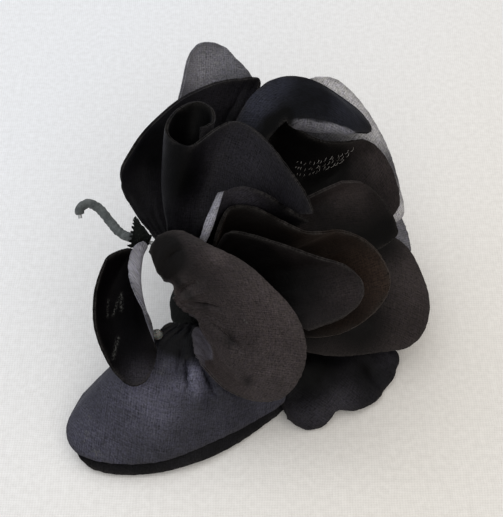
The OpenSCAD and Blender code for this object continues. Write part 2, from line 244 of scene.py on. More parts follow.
def cad_grid(name, rows):
    """The middle surface of a CAD sheet with so many rows, as [row, column, xyz], from its neck to its rim.
    A point inside either face or on a side has six triangles. A corner has four or five."""
    points, tris = welded(name)
    cols = (len(tris) - 4 * rows) // (4 * rows + 4)
    third, valence = {}, np.bincount(tris.ravel())
    for a, b, c in tris.tolist():
        third[a, b], third[b, c], third[c, a] = c, a, b

    def straight(p, q, steps):
        """The line of points straight on from p and q, if it ends at a corner after so many steps."""
        line = [p, q]
        while len(line) <= steps:
            if valence[q] != 6:
                return None
            r = p
            for _ in range(3):
                r = third[q, r]
            p, q = q, r
            line.append(q)
        return line if valence[q] == 5 else None

    def face(row, side):
        """One face's points, walked row by row from its first row and its first column."""
        found = [row]
        for start in side[1:]:
            fresh = [start]
            for old, new in zip(found[-1], found[-1][1:]):
                ends = third[new, fresh[-1]], third[fresh[-1], new]
                fresh.append(ends[0] if ends[1] == old else ends[1])
            found.append(fresh)
        return points[np.array(found)]

    grids = []
    for corner in np.flatnonzero(valence == 4).tolist():
        beside = {b for a, b in third if a == corner}
        for p in beside:
            row = straight(corner, p, cols)
            meets = [q for q in beside if q in (third.get((p, corner)), third.get((corner, p)))]
            sides = [side for side in (straight(corner, q, rows) for q in meets) if side]
            if row and sides:
                grids.append(face(row, sides[0]))
    grids.sort(key=lambda g: np.linalg.norm(np.diff(g[0], axis=0), axis=1).sum())
    return (grids[0] + grids[1]) / 2


def spokes(name, rows):
    """Each column's root, rim and bow, as the CAD sheet's columns are bowed spokes."""
    grid = cad_grid(name, rows)
    v = np.linspace(0, 1, rows + 1)
    basis = np.stack([1 - v, v, 2 * v * (1 - v)], 1)
    return np.linalg.lstsq(basis, grid.reshape(rows + 1, -1), rcond=None)[0].reshape(3, -1, 3)


def smooth_between(knots, u):
    """A smooth curve through knots[:, k], at each u from 0 to 1."""
    last = knots.shape[1] - 1
    k = np.clip((u * last).astype(int), 0, last - 1)
    f = (u * last - k)[None, :, None]
    padded = np.concatenate([2 * knots[:, :1] - knots[:, 1:2], knots, 2 * knots[:, -1:] - knots[:, -2:-1]], 1)
    a, b, c, d = (padded[:, k + i] for i in range(4))
    square, cube = 2 * a - 5 * b + 4 * c - d, 3 * b - a - 3 * c + d
    return 0.5 * (2 * b + (c - a) * f + square * f ** 2 + cube * f ** 3)


RIM_SAMPLES = 400


def surface(name, rows, nu, nv):
    """The sheet's middle surface as a fine grid, and its u and v. Columns are nearly even along the rim."""
    knots = spokes(name, rows)
    u = np.linspace(0, 1, RIM_SAMPLES)
    rim = smooth_between(knots, u)[1]
    way = np.concatenate([[0], np.cumsum(np.linalg.norm(np.diff(rim, axis=0), axis=1))])
    even = 0.7 * way / way[-1] + 0.3 * u
    u = np.interp(np.linspace(0, 1, nu + 1), even, u)
    root, rim, bow = smooth_between(knots, u)
    v = np.linspace(0, 1, nv + 1)[:, None, None]
    return root * (1 - v) + rim * v + 2 * v * (1 - v) * bow, u, v[:, 0, 0]


def unit(vectors):
    return vectors / np.maximum(np.linalg.norm(vectors, axis=-1, keepdims=True), 1e-12)


def normals(grid):
    """The surface's normal at each point of a grid."""
    return unit(np.cross(np.gradient(grid, axis=0), np.gradient(grid, axis=1)))


def arc(grid, axis):
    """How far each point is along its row or column."""
    step = np.linalg.norm(np.diff(grid, axis=axis), axis=2)
    start = np.zeros_like(np.take(step, [0], axis=axis))
    return np.concatenate([start, np.cumsum(step, axis=axis)], axis=axis)


def waves(seed, x, y, length, count=7):
    """Smooth noise about 0, nearly all within -1..1, with bumps of that length."""
    rng = np.random.default_rng(seed)
    total = np.zeros(np.broadcast(x, y).shape)
    for _ in range(count):
        angle, phase = rng.uniform(0, TURN, 2)
        k = TURN / (length * rng.uniform(0.7, 1.5))
        total += np.cos(k * (x * math.cos(angle) + y * math.sin(angle)) + phase)
    return total / math.sqrt(count)


# ---- petals ----

# Rows in a petal's CAD sheet, and the columns and rows of the finer grid made from it
PETAL_ROWS = 7
FINE_GRID = (120, 60)
GREY_PETALS = ("top_petal", "back_right_petal", "back_low_petal", "back_petal")
# Half a petal's thickness, and the groove's depth and half width between its two plies
HALF = 0.36 * MM
GROOVE = 0.3 * MM
PLY_GAP = 0.05 * MM
EDGE_TUCK = 0.02 * MM
EDGE_POINTS = 4
WORN_WIDTH = 0.55 * MM


def gap_to_edge(x, y):
    """How far each point is from the cut edges: the rim and both sides."""
    return np.minimum(np.minimum(x - x[:, :1], x[:, -1:] - x), y[-1:] - y)


def from_line(grid, u, v, ends, steps):
    """How far each point is from a line (u, v) to (u, v), and how far along it its nearest point is."""
    u0, v0, u1, v1 = ends
    t = np.linspace(0, 1, steps)
    i = np.interp(v0 + (v1 - v0) * t, v, np.arange(len(v)))
    j = np.interp(u0 + (u1 - u0) * t, u, np.arange(len(u)))
    on_line = grid[i.round().astype(int), j.round().astype(int)]
    away = np.linalg.norm(grid[:, :, None] - on_line[None, None], axis=3)
    return away.min(axis=2), t[away.argmin(axis=2)]


def crease(grid, u, v, line):
    """A fold along a line, so deep and so wide in mm. It fades at its ends."""
    *ends, depth, width = line
    away, along = from_line(grid, u, v, ends, 24)
    fade = np.sin(math.pi * np.clip(along * 0.9 + 0.1, 0, 1)) ** 0.7
    return depth * MM * fade * np.exp(-(away / (width * MM)) ** 2)


# A hem's added columns, how often its directions are smoothed, and its least width in mm
HEM_COLUMNS = 12
HEM_SMOOTHING = 12
HEM_LEAST = 0.12


def hem(grid, v, side, low, high, width, radius, toward):
    """More cloth beyond one side (0 or 1), from v = low to high, rolled over: so wide, to that radius, in mm.
    It rolls along the surface's normals if toward is 1, or against them if it is -1."""
    n = normals(grid) * toward
    edge, inner = (0, 2) if side == 0 else (-1, -3)
    out = grid[:, edge] - grid[:, inner]
    out -= (out * n[:, edge]).sum(1)[:, None] * n[:, edge]
    facing = n[:, edge]
    for _ in range(HEM_SMOOTHING):
        out, facing = ((a[np.r_[0, :len(a) - 1]] + a + a[np.r_[1:len(a), -1]]) / 3 for a in (out, facing))
    out, facing = unit(out), unit(facing)
    along = np.clip((v - low) / (high - low), 0, 1)
    wide = MM * np.maximum(width * np.sin(math.pi * along) ** 0.6, HEM_LEAST)[:, None, None]
    s = wide * np.linspace(1 / HEM_COLUMNS, 1, HEM_COLUMNS)[None, :, None]
    r = radius * MM
    turn = s / r
    added = out[:, None] * r * np.sin(turn) + facing[:, None] * r * (1 - np.cos(turn))
    added += grid[:, edge][:, None]
    if side == 0:
        return np.concatenate([added[:, ::-1], grid], axis=1)
    return np.concatenate([grid, added], axis=1)


def mesh_object(name, points, faces, material, attributes=None, sharp=None):
    """A smooth-shaded object from points and faces. Edges over so many degrees stay sharp."""
    mesh = bpy.data.meshes.new(name)
    mesh.from_pydata(points.tolist(), [], faces)
    mesh.validate()
    for key, values in (attributes or {}).items():
        if values.ndim == 2:
            mesh.attributes.new(key, "FLOAT_VECTOR", "POINT").data.foreach_set("vector", values.ravel())
        else:
            mesh.attributes.new(key, "FLOAT", "POINT").data.foreach_set("value", values)
    mesh.shade_smooth()
    if sharp:
        mesh.set_sharp_from_angle(angle=math.radians(sharp))
    mesh.materials.append(material)
    made = bpy.data.objects.new(name, mesh)
    scene.collection.objects.link(made)
    return made


def grid_faces(rows, cols, start=0, flip=False):
    """Quads over a grid of points."""
    i, j = np.meshgrid(np.arange(rows - 1), np.arange(cols - 1), indexing="ij")
    a = (start + i * cols + j).ravel()
    quads = np.stack([a, a + 1, a + cols + 1, a + cols], 1)
    return (quads[:, ::-1] if flip else quads).tolist()


def sheet_mesh(name, grid, material, extra=None, seed=0, half=HALF, groove=GROOVE, ragged=0.05):
    """A closed mesh of two bonded plies about a grid, with a groove between them along every edge. Each ply's
    edge is a little ragged. extra has each attribute's values, for both plies or each."""
    rows, cols = grid.shape[:2]
    n = normals(grid)
    x = arc(grid, 1)
    x -= x[:, cols // 2][:, None]
    y = arc(grid, 0)
    loop = ([(0, j) for j in range(cols)] + [(i, cols - 1) for i in range(1, rows)]
            + [(rows - 1, j) for j in range(cols - 2, -1, -1)] + [(i, 0) for i in range(rows - 2, 0, -1)])
    li, lj = np.array(loop).T
    inward = unit(grid[np.clip(li, 1, rows - 2), np.clip(lj, 1, cols - 2)] - grid[li, lj])
    front, back = grid + n * half, grid - n * half
    on_edge = x[li, lj], y[li, lj]
    for ply, salt in ((front, 1), (back, 2)):
        coarse = waves(seed * 7 + salt, *on_edge, 2.2 * MM, 9)
        uneven = coarse + 0.7 * waves(seed * 7 + salt + 40, *on_edge, 0.7 * MM, 9)
        cut = (uneven * ragged * MM)[:, None] * -inward
        ply[li, lj] += cut * (li > 0)[:, None]
    edge = [front[li, lj] - n[li, lj] * (half - 2 * PLY_GAP) + inward * EDGE_TUCK,
            grid[li, lj] + n[li, lj] * PLY_GAP + inward * groove,
            grid[li, lj] - n[li, lj] * PLY_GAP + inward * groove,
            back[li, lj] + n[li, lj] * (half - 2 * PLY_GAP) + inward * EDGE_TUCK]
    count = rows * cols
    points = np.concatenate([front.reshape(-1, 3), back.reshape(-1, 3)] + edge)
    faces = grid_faces(rows, cols, 0, True) + grid_faces(rows, cols, count)
    ring = len(loop)
    on_front = (li * cols + lj).tolist()
    starts = [2 * count + k * ring for k in range(EDGE_POINTS)]
    layers = [on_front] + [list(range(k, k + ring)) for k in starts] + [[count + k for k in on_front]]
    for upper, lower in zip(layers, layers[1:]):
        faces += [[upper[k], upper[(k + 1) % ring], lower[(k + 1) % ring], lower[k]] for k in range(ring)]
    gap = gap_to_edge(x, y)
    worn = np.exp(-gap / WORN_WIDTH) * np.clip(0.75 + 0.5 * waves(seed + 9, x, y, 5 * MM), 0.1, 1)

    def both(a, b=None):
        """A value for each of the mesh's points: both plies', and then those round the edge."""
        b = a if b is None else b
        return np.concatenate([a.reshape(count, -1), b.reshape(count, -1), *[a[li, lj].reshape(ring, -1)] * 2,
                               *[b[li, lj].reshape(ring, -1)] * 2])

    shift = np.full((rows, cols), 0.31 * (seed % 13))
    attributes = {"cloth": both(np.stack([x, y, shift], 2)), "wear": both(worn).ravel()}
    for key, values in (extra or {}).items():
        attributes[key] = both(*values).ravel()
    return mesh_object(name, points, faces, material, attributes, 60), loop


# Each petal's grid, normals and edge points, for the fibres
edges_of_cloth = {}


def tucked(x, u, v, edge, depth):
    """One side's cloth folded under beyond a line, given as v and u: which cloth it is, and how deep."""
    past = (u[None, :] - np.interp(v, *edge)[:, None]) * np.ptp(x, axis=1)[:, None] / MM
    lip = -0.35 * depth * MM * np.exp(-((past + 0.5) / 0.7) ** 2)
    return np.clip(past / 0.35 + 0.5, 0, 1), depth * MM * np.clip(past / 0.9, 0, 1) ** 0.7 + lip


def spots_on(grid, u, v, smears, painted_shade_light_spots):
    """How much each point is smeared, and how much painted shade or painted highlight it has. A hem at side 0
    shifts the grid's columns, so a place there is that many columns nearer that side."""
    smear, painted_shade_light = np.zeros(grid.shape[:2]), np.zeros(grid.shape[:2])
    for *ends, wide in smears:
        smear = np.maximum(smear, np.exp(-(from_line(grid, u, v, ends, 30)[0] / (wide * MM)) ** 2))
    for u0, v0, radius, amount in painted_shade_light_spots:
        i, j = round(np.interp(v0, v, np.arange(len(v)))), round(np.interp(u0, u, np.arange(len(u))))
        away = np.linalg.norm(grid - grid[i, j], axis=2)
        painted_shade_light += amount * np.exp(-(away / (radius * MM)) ** 2)
    return smear, painted_shade_light


def petal(node, material, seed, wave, pleats=(6, 0.2, 0.15), rim=(0.15, 14, 0.8), creases=(), hems=(),
          smears=(), painted_shade_light_spots=(), ply_shade=(0, 0), under=None, neck_fold=None, groove=GROOVE):
    """A petal of cloth on its CAD sheet's surface. Lengths are in mm. A place is (u, v): u from side to side,
    and v from the neck to the rim.
    pleats: how many, how deep, how far up from the neck. wave: height, length. rim: height, length, first v.
    creases: u, v, u, v, depth, width. smears: u, v, u, v, width. tones: painted shade and painted highlights,
    as u, v, radius, -1 painted dark to 1 painted pale.
    hems: side, first v, last v, width, radius, way, and where on it the paler other side, its duller back
    with a painted sheen, starts.
    lining: painted shade to add on each ply. under: a line, as v and u, that a side is folded under at, and
    its depth.
    neck_fold: a hem along the neck: first u, last u, width, radius, way."""
    grid, u, v = surface(node, PETAL_ROWS, *FINE_GRID)
    n = normals(grid)
    x, y = arc(grid, 1), arc(grid, 0)
    x -= x[:, x.shape[1] // 2][:, None]
    uu, vv = u[None, :], v[:, None]
    ends = np.clip(np.minimum(vv, 0.25) * 4, 0, 1)
    count, depth, reach = pleats
    rng = np.random.default_rng(seed)
    wander = uu * count + 0.35 * waves(seed, x, y, 9 * MM) + rng.uniform()
    off = depth * MM * np.cos(TURN * wander) * np.exp(-(vv / reach) ** 2) * np.clip(vv / 0.05, 0, 1)
    off = off + wave[0] * MM * waves(seed + 1, x, y, wave[1] * MM) * ends
    grow = np.clip((vv - rim[2]) / (1 - rim[2]), 0, 1) ** 1.5
    off = off + rim[0] * MM * waves(seed + 2, x, 0.4 * y, rim[1] * MM) * grow
    for line in creases:
        off = off + crease(grid, u, v, line)
    turned_sheen = np.zeros(grid.shape[:2])
    if under:
        turned_sheen, tuck = tucked(x, u, v, *under)
        off = off + tuck
    grid = grid + n * off[:, :, None]
    for *line, lap in hems:
        side, low, high, wide = line[:4]
        old = grid.shape[1]
        grid = hem(grid, v, *line)
        # Where a hem shows the cloth's other side, it is painted paler, with a painted sheen
        along = np.sin(math.pi * np.clip((v - low) / (high - low), 0, 1))[:, None]
        past = np.linspace(0, 1, grid.shape[1] - old)[None] * wide * along ** 0.6 - lap * along
        shows = np.clip(past / 0.25 + 0.5, 0, 1) if lap else np.ones_like(past)
        more = shows * along ** 0.3
        turned_sheen = np.concatenate([more[:, ::-1], turned_sheen] if side == 0 else [turned_sheen, more], axis=1)
    smear, painted_shade_light = spots_on(grid, u, v, smears, painted_shade_light_spots)
    if neck_fold:
        rows, across = len(grid), np.linspace(0, 1, grid.shape[1])
        grid = hem(grid.transpose(1, 0, 2), across, 0, *neck_fold).transpose(1, 0, 2)
        more = np.zeros((len(grid) - rows, len(across)))
        turned_sheen, smear, painted_shade_light = (np.concatenate([more, a]) for a in (turned_sheen, smear, painted_shade_light))
        turned_sheen[:len(more) + 1] = np.clip((across - 0.75) / 0.1, 0, 1)
    # Painted shade added on each ply
    plies = [np.clip(painted_shade_light + shift, -1, 1) for shift in ply_shade]
    painted = {"turned_sheen": (turned_sheen,), "smear": (smear,), "painted_shade_light": plies}
    made, loop = sheet_mesh(node + "_cloth", grid, material, painted, seed, HALF, groove)
    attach(made, "flower")
    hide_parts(node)
    edges_of_cloth[node] = (grid, normals(grid), loop)


# ---- round things: tubes, curves and lumps ----

# A direction that no path starts along
SKEW = (0.3, 0.2, 0.93)


def tube_rings(path, radius, sides):
    """Rings of points round a path. The radius may change along it."""
    path = np.asarray(path)
    ahead = unit(np.gradient(path, axis=0))
    side = np.cross(ahead[0], SKEW)
    radius = np.broadcast_to(radius, len(path))
    rings = []
    a = TURN * np.arange(sides) / sides
    for p, d, r in zip(path, ahead, radius):
        side = unit(side - d * (side @ d))
        up = np.cross(d, side)
        rings.append(p + r * (np.cos(a)[:, None] * side + np.sin(a)[:, None] * up))
    return np.array(rings)


def tube_mesh(rings, start=0):
    """Points and faces of a closed tube through its rings."""
    count, sides = rings.shape[:2]
    faces = []
    for i in range(count - 1):
        for k in range(sides):
            a, b = i * sides + k, i * sides + (k + 1) % sides
            faces.append([start + a, start + b, start + b + sides, start + a + sides])
    faces.append([start + k for k in range(sides - 1, -1, -1)])
    faces.append([start + (count - 1) * sides + k for k in range(sides)])
    return rings.reshape(-1, 3), faces


def many_tubes(paths, radii, sides=3):
    """One mesh's points and faces for many thin tubes."""
    points, faces, total = [], [], 0
    for path, radius in zip(paths, radii):
        p, f = tube_mesh(tube_rings(path, radius, sides), total)
        points.append(p)
        faces += f
        total += len(p)
    return np.concatenate(points), faces


def catmull(points, steps):
    """A smooth curve through points."""
    points = np.asarray(points, float)[None]
    return smooth_between(points, np.linspace(0, 1, steps))[0]


def piece(made, slot, *nodes, body="flower"):
    """Puts a piece on its body, and hides the CAD nodes that it stands for. Its material slot is not used."""
    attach(made, body)
    if nodes:
        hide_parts(*nodes)
    return made


def lump(name, node, material, seed, rings=40, sides=56, depth=0.35, grain=3.0):
    """A round soft solid's surface, seen from its middle, with lumps and hollows in it."""
    points, tris = welded(node)
    tree = BVHTree.FromPolygons(points.tolist(), tris.tolist())
    middle = Vector(points.mean(axis=0))
    found, pole = [], 0.05 * math.pi / rings
    for i in range(rings + 1):
        polar = np.clip(math.pi * i / rings, pole, math.pi - pole)
        for k in range(sides):
            a = TURN * k / sides
            ray = Vector((math.sin(polar) * math.cos(a), math.sin(polar) * math.sin(a), math.cos(polar)))
            found.append(tree.ray_cast(middle, ray)[0])
    co = np.array(found)
    out = unit(co - np.array(middle))
    sink = 0.5 * waves(seed, co[:, 0] + co[:, 2], co[:, 1] - co[:, 2], grain * MM)
    sink += 0.25 * waves(seed + 1, co[:, 0], co[:, 1] + 1.3 * co[:, 2], 0.4 * grain * MM)
    co -= out * (depth * MM * np.clip(0.75 + sink, 0, 2))[:, None]
    p, f = tube_mesh(co.reshape(rings + 1, sides, 3))
    return mesh_object(name, p, [face[::-1] for face in f], material)


# ---- the flower's materials ----
# Each petal has its own copy of the same black satin, its base colour set to how light or dark that petal
# looks where it lies, so these base colours carry painted light and shade: the paler cool and warm copies
# stand for the window's and the front fill's light, the grey copies for sheen and light through the thin
# cloth, and the darkest copy for shade in the hollows.

# The paler colour of turned-over cloth: the satin's duller back, with a painted sheen
DULL_SIDE_AND_SHEEN = (0.10, 0.098, 0.115)
satin_lit_cool = satin("satin_lit_cool_black", (0.019, 0.0188, 0.0245), (0.035, 0.0345, 0.0455), 0.42, 0.06,
                   specular=0.1, turned_sheen=DULL_SIDE_AND_SHEEN)
satin_lit_warm = satin("satin_lit_warm_black", (0.0205, 0.0164, 0.0158), (0.033, 0.0268, 0.0258), 0.46, 0.05,
                   (1.0, 0.9, 0.84), 0.08, turned_sheen=(0.043, 0.04, 0.047))
satin_dusk = satin("satin_dusk", (0.0065, 0.005, 0.0048), (0.016, 0.0125, 0.012), 0.46, 0.03,
                   (1.0, 0.86, 0.84), 0.07)
satin_brown = satin("satin_brown_black", (0.0065, 0.0036, 0.0022), (0.0135, 0.0085, 0.0058), 0.48, 0.06,
                    (1.0, 0.8, 0.7), 0.08)
satin_ink = satin("satin_ink", (0.0022, 0.0025, 0.0036), (0.007, 0.0075, 0.0105), 0.42, 0.03,
                  specular=0.06, turned_sheen=(0.14, 0.138, 0.15))
satin_deep = satin("satin_deep_black", (0.0026, 0.0025, 0.003), (0.008, 0.0075, 0.0088), 0.44, 0.03,
                   specular=0.06, turned_sheen=DULL_SIDE_AND_SHEEN)
# The darkest copy: its pale spots are painted sheen, up to its highlight colour
satin_shaded_night = satin("satin_shaded_night", (0.0008, 0.0007, 0.0009), (0.0025, 0.0021, 0.0025), 0.5, 0.0,
                    specular=0.03, turned_sheen=(0.22, 0.22, 0.24), painted_highlight=(0.02, 0.0185, 0.0215))
satin_sheen_grey = satin("satin_sheen_charcoal", (0.092, 0.091, 0.099), (0.132, 0.13, 0.14), 0.6, 0.2, specular=0.3)
# Its highlight colour is painted light along the back petals' rims
satin_lit_smoke = satin("satin_lit_smoke", (0.02, 0.019, 0.022), (0.07, 0.068, 0.075), 0.6, 0.2, specular=0.25,
                    painted_highlight=(0.5, 0.49, 0.48))

# ---- the flower's petals ----

# Each petal's listed spots are painted shade (dark: in hollows, creases, pleats and under other petals) and
# painted highlights and sheen (pale)
petal("lower_left_petal", satin_lit_cool, 11, pleats=(7, 0.3, 0.14), wave=(0.1, 22), rim=(0.12, 14, 0.8),
      creases=[(0.52, 0.3, 0.55, 0.56, -1.3, 0.55), (0.6, 0.36, 0.64, 0.64, -1.3, 0.55),
               (0.56, 0.4, 0.6, 0.8, 0.6, 1.2), (0.47, 0.18, 0.5, 0.5, -0.6, 0.8),
               (0.68, 0.2, 0.72, 0.6, -0.8, 0.8), (0.64, 0.5, 0.7, 0.78, 0.4, 0.9)],
      smears=[(0.24, 0.86, 0.26, 0.92, 0.3), (0.3, 0.95, 0.33, 0.96, 0.35), (0.2, 0.8, 0.21, 0.8, 0.25),
              (0.4, 0.35, 0.41, 0.4, 0.4)],
      painted_shade_light_spots=[(0.38, 0.48, 4, 0.1), (0.47, 0.68, 4, 0.35), (0.5, 0.5, 2, 0.4), (0.58, 0.57, 2, 0.4),
             (0.53, 0.42, 1, -0.8), (0.62, 0.52, 1, -0.8), (0.7, 0.75, 8, -0.25), (0.22, 0.9, 7, 0.25),
             (0.5, 0.06, 5.6, -1.6), (0.8, 0.08, 6, -1.4), (0.25, 0.06, 5.5, -1.4), (0.42, 0.32, 1.6, 0.35),
             (0.58, 0.5, 2.5, 0.4), (0.57, 0.42, 2.2, 1), (0.35, 0.53, 4.5, 0.5)])
petal("lower_left_under_petal", satin_deep, 12, wave=(0.1, 20), rim=(0.12, 14, 0.8))
petal("lower_right_petal", satin_deep, 13, pleats=(6, 0.25, 0.15), wave=(0.3, 9), rim=(0.4, 7, 0.6),
      painted_shade_light_spots=[(0.16, 0.9, 6, 0.5), (0.48, 0.9, 4.5, 0.9), (0.84, 0.92, 3, 0.5), (0.35, 0.7, 4, -0.6),
             (0.6, 0.55, 6, -1.2), (0.73, 0.84, 3, -1), (0.3, 0.95, 3, 0.4)])
petal("right_petal", satin_lit_warm, 14, wave=(0.15, 24), rim=(0.15, 16, 0.8),
      painted_shade_light_spots=[(0.26, 0.82, 8, -0.75), (0.1, 0.6, 9, -1), (0.5, 0.6, 9, -0.5), (0.9, 0.88, 6, -1.2)])
petal("front_petal", satin_lit_warm, 15, pleats=(5, 0.15, 0.1), wave=(0.12, 14), rim=(0.1, 12, 0.85),
      creases=[(0.1, 0.5, 0.2, 0.66, 0.6, 0.6), (0.26, 0, 0.34, 0.3, 1.0, 0.6),
               (0.4, 0.05, 0.4, 0.34, -0.5, 0.8), (0.48, 0, 0.52, 0.34, 1.1, 0.55),
               (0.6, 0, 0.62, 0.3, 0.7, 0.6), (0.66, 0.05, 0.7, 0.5, 0.9, 0.6)],
      hems=[(0, -0.1, 0.9, 1.7, 2.2, 1, 0), (1, -0.2, 1.05, 3.3, 5.0, 1, 0)],
      under=(((0, 0.3, 0.6, 0.97), (1.02, 0.88, 0.93, 1.03)), 0.3), neck_fold=(-0.15, 1.3, 2.8, 3.5, 1),
      smears=[(0.66, 0.5, 0.665, 0.52, 0.2)],
      painted_shade_light_spots=[(0.05, 0.75, 4, -1.1), (0.13, 0.6, 4, -1), (0.3, 0.8, 6, -0.3), (0.2, 0.75, 3.2, -0.9),
             (0.24, 0.5, 4, -0.7), (0.4, 0.38, 4.5, -0.5), (0.6, 0.84, 7, 0.15), (0.37, 0.8, 3.5, 0.4),
             (0.78, 0.36, 1.6, -0.9), (0.9, 0.72, 1.3, -0.7), (0.3, 0.1, 1.6, -0.7), (0.5, 0.1, 1.6, -0.8),
             (0.62, 0.15, 1.5, -0.7), (0.4, 0.15, 1.5, 0.4), (0.55, 0.15, 1.5, 0.4)])
petal("left_loop_petal", satin_shaded_night, 16, pleats=(5, 0.03, 0.15), wave=(0.06, 14), rim=(0.1, 12, 0.8),
      hems=[(1, -0.35, 0.95, 4.2, 2.4, 1, 0)],
      smears=[(0.46, 0.36, 0.52, 0.46, 0.35), (0.44, 0.42, 0.42, 0.6, 0.25), (0.52, 0.7, 0.48, 0.92, 0.35),
              (0.3, 0.6, 0.36, 0.7, 0.2)], painted_shade_light_spots=[(0.75, 0.97, 3.6, 1), (1, 0.75, 4, -0.6)])
petal("upper_left_petal", satin_deep, 17, pleats=(7, 0.2, 0.2), wave=(0.12, 18),
      creases=[(0.78, 0.98, 0.77, 0.6, 0.8, 0.8)],
      painted_shade_light_spots=[(0.6, 0.9, 6, 0.6), (0.42, 0.95, 5, 0.4), (0.3, 0.7, 8, -0.6), (0.8, 0.85, 4, 0.4)])
# The rolled petal's inner ply is painted near black: painted shade inside the roll
petal("rolled_petal", satin_deep, 18, pleats=(8, 0.2, 0.15), wave=(0.1, 14), rim=(0.1, 12, 0.8),
      ply_shade=(-1.2, 0),
      painted_shade_light_spots=[(0.7, 0.72, 8, 0.35), (0.8, 0.8, 8, 0.35), (0.64, 0.4, 5, 0.6), (0.53, 0.6, 5, -1.3),
             (0.44, 0.95, 4, -1), (0.36, 0.85, 2.5, 0.5), (0.92, 0.9, 5, 0.2)])
petal("upper_right_petal", satin_ink, 19, pleats=(4, 0.15, 0.15), wave=(0.1, 16), rim=(0.1, 10, 0.8),
      hems=[(0, 0.5, 1.04, 5.8, 3.4, -1, 2.2)],
      painted_shade_light_spots=[(0.84, 0.42, 5, 1.2), (0.9, 0.6, 4, 0.8), (0.7, 0.88, 5, 0.5), (0.5, 0.6, 7, -0.5),
             (0.32, 0.4, 1.7, -1.5), (0.22, 0.43, 1.9, -1.6), (0.1, 0.42, 2, -1.6), (0.26, 0.5, 1.5, -1.5),
             (0.1, 0.5, 1.5, -1.5), (0.2, 0.34, 2, -1.5)])
petal("inner_right_petal", satin_dusk, 20, wave=(0.12, 20),
      painted_shade_light_spots=[(0.3, 1, 8, -1.3), (0.15, 0.8, 7, -1), (0.78, 0.8, 6, 0.3)])
petal("heart_hood_petal", satin_shaded_night, 21, pleats=(4, 0.1, 0.1), wave=(0.06, 14), rim=(0.06, 12, 0.8),
      hems=[(0, 0.15, 1.1, 2.6, 3.0, 1, 0)], painted_shade_light_spots=[(0.4, 0.9, 5, 1)])
petal("heart_outer_petal", satin_brown, 22, pleats=(4, 0.1, 0.1), wave=(0.08, 20), rim=(0.08, 16, 0.8),
      painted_shade_light_spots=[(0.12, 0.75, 10, -1.5), (0.35, 0.7, 9, -1), (0.95, 0.8, 8, -0.8), (0.7, 0.98, 7, 0.4)])
petal("heart_inner_petal", satin_dusk, 23, pleats=(4, 0.1, 0.1), wave=(0.08, 20), rim=(0.08, 16, 0.8),
      painted_shade_light_spots=[(0.17, 0.65, 9, -1.2), (0.4, 0.5, 9, -1), (0.95, 0.6, 9, -0.8), (0.5, 0.8, 5, -0.3)])
petal("heart_bud_petal", satin_shaded_night, 24, pleats=(4, 0.1, 0.1), wave=(0.05, 9), rim=(0.05, 9, 0.8),
      groove=0.08 * MM)
petal("frayed_petal", satin_dusk, 25, pleats=(4, 0.2, 0.15), wave=(0.15, 14), rim=(0.2, 9, 0.75),
      painted_shade_light_spots=[(0.1, 0.9, 10, -1.5), (0.3, 0.7, 9, -1.5), (0.5, 0.4, 10, -1), (0.7, 0.92, 5, 0.3),
             (0.45, 0.8, 5, -1)])
petal("top_petal", satin_sheen_grey, 26, pleats=(4, 0.2, 0.2), wave=(0.12, 16), rim=(0.12, 12, 0.8),
      smears=[(0.68, 0.93, 0.8, 0.9, 0.3), (0.6, 0.9, 0.62, 0.88, 0.25), (0.85, 0.95, 0.9, 0.93, 0.3)],
      painted_shade_light_spots=[(0.35, 0.85, 6, 0.3), (0.8, 0.8, 5, -0.15)])
petal("back_right_petal", satin_lit_smoke, 27, wave=(0.15, 22),
      painted_shade_light_spots=[(0.36, 1, 7, 0.9), (0.48, 1, 7, 0.9), (0.62, 1, 6, 0.7), (0.85, 0.95, 5, 0.9)])
petal("back_low_petal", satin_sheen_grey, 28, wave=(0.12, 20))
petal("back_petal", satin_lit_smoke, 29, wave=(0.15, 20))


# ---- raw edges: fibres of the cut cloth ----


# In mm, and the spread of a fibre's bend
FIBRE_RADIUS = 0.022
FIBRE_BEND = 0.5


def fringe(name, material, slot, picks, seed, length):
    """Fibres up to so many mm long on cut edges: picks gives each petal's share of edge points with one."""
    rng = np.random.default_rng(seed)
    paths, radii = [], []
    for node, share in picks:
        grid, n, loop = edges_of_cloth[node]
        rows, cols = grid.shape[:2]
        spots = [(i, j) for i, j in loop if i > 0.3 * rows]
        keep = rng.random(len(spots)) < share
        for (i, j), kept in zip(spots, keep):
            long, lift, slip = rng.uniform(0.3, 1) ** 1.5 * length, rng.normal(0, 0.5), rng.normal(0, 0.9)
            if not kept:
                continue
            inward = unit(grid[min(max(i, 1), rows - 2), min(max(j, 1), cols - 2)] - grid[i, j])
            way = unit(-inward + lift * n[i, j] + slip * np.cross(inward, n[i, j]))
            curl = rng.normal(0, FIBRE_BEND, 3)
            t = np.linspace(0, 1, 5)[:, None]
            start = grid[i, j] + inward * 0.15 * MM + n[i, j] * rng.uniform(-0.25, 0.25) * MM
            paths.append(start + long * MM * (t * way + t * t * curl * 0.5))
            radii.append(np.linspace(FIBRE_RADIUS, 0.5 * FIBRE_RADIUS, 5) * MM)
    p, f = many_tubes(paths, radii)
    return piece(mesh_object(name, p, f, material), slot)


def fibre_material(name, dark, light):
    """Loose fibres, from a dark colour to a light one by place."""
    made, tree, shader = new_material(name, Roughness=0.6, Specular_IOR_Level=0.2)
    place = in_object(tree)
    blotch = spread(tree, noise(tree, place, 500, 3), 0.35, 0.65)
    connect(tree, shader, mix(tree, blotch, dark, light))
    return made


